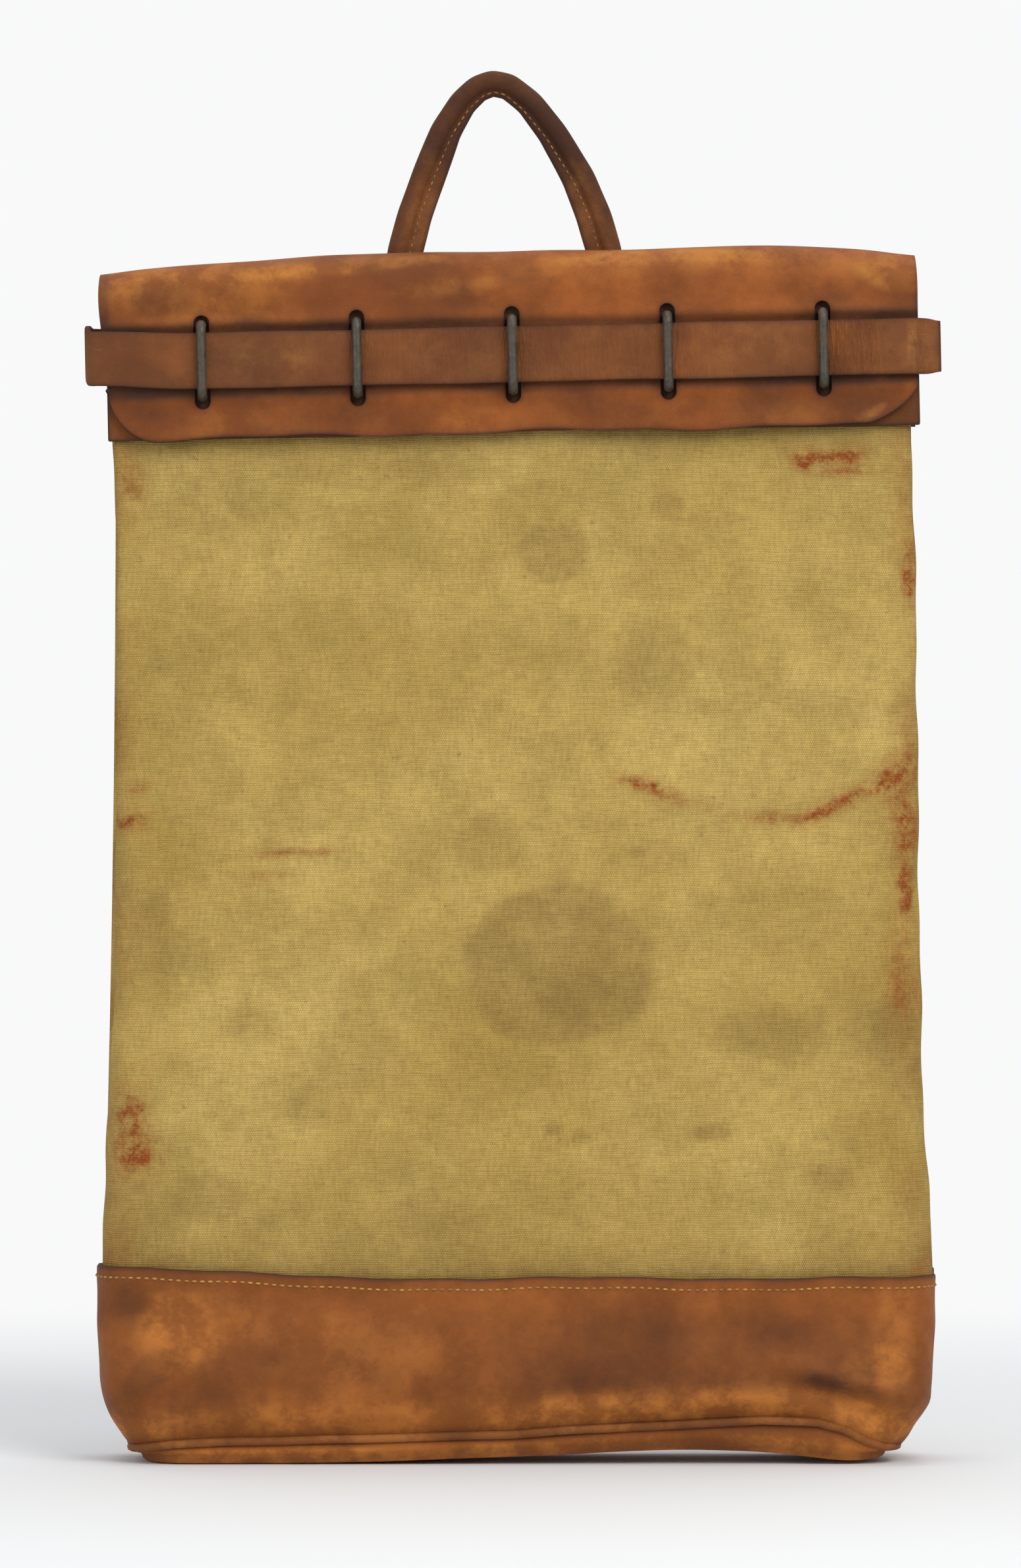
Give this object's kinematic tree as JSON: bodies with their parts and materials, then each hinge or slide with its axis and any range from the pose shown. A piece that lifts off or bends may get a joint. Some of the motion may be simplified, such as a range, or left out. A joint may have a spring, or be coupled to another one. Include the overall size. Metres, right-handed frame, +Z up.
{
  "type": "mail sack",
  "caption": "Upright canvas mail sack with a leather base, leather flap over iron staples, locking strap and rolled hand loop.",
  "frame": {"origin": "middle of the base, on the floor", "axes": "+Z up the sack, +X to its right-hand side, the front with the flap and strap faces -Y"},
  "size_m": [0.4203, 0.072, 0.6809],
  "materials": {
    "canvas": "worn cotton duck",
    "base_leather": "worn russet",
    "welt_leather": "worn russet",
    "band_leather": "worn russet",
    "strap_leather": "waxed",
    "handle_leather": "handled smooth",
    "iron": "dark wrought wire",
    "brass": "dulled",
    "rope": "hemp"
  },
  "bodies": {
    "sack": {"canvas_front": "canvas", "canvas_back": "canvas", "gusset_left": "canvas", "gusset_right": "canvas", "base_front": "base_leather", "base_back": "base_leather", "base_welt": "welt_leather", "base_bottom": "base_leather", "front_band": "band_leather", "back_band": "band_leather", "staple_strip": "band_leather", "staple_burrs": "iron", "staple_1": "iron", "staple_2": "iron", "staple_3": "iron", "staple_4": "iron", "staple_5": "iron", "handle_end_left": "handle_leather", "handle_end_right": "handle_leather", "handle_rivets": "brass", "handle_burrs": "brass"},
    "flap": {"flap": "band_leather"},
    "strap": {"strap": "strap_leather"},
    "hand_loop": {"handle_cover": "handle_leather", "handle_core": "rope"}
  },
  "joints": [
    {"name": "flap_fold", "type": "hinge", "parent": "sack", "child": "flap", "pos_m": [-0.00109, 0.003, 0.59499], "axis": [-0.9998, 0, -0.0209], "range_deg": [0, 150], "deforming": ["strap"]},
    {"name": "strap_draw", "type": "slide", "parent": "sack", "child": "strap", "axis": [-0.9998, 0, -0.0209], "range_m": [0, 0.385]},
    {"name": "loop_bend", "type": "hinge", "parent": "sack", "child": "hand_loop", "pos_m": [-0.0044, 0.0184, 0.56191], "axis": [-0.9998, 0, -0.0209], "range_deg": [0, 160]}
  ]
}
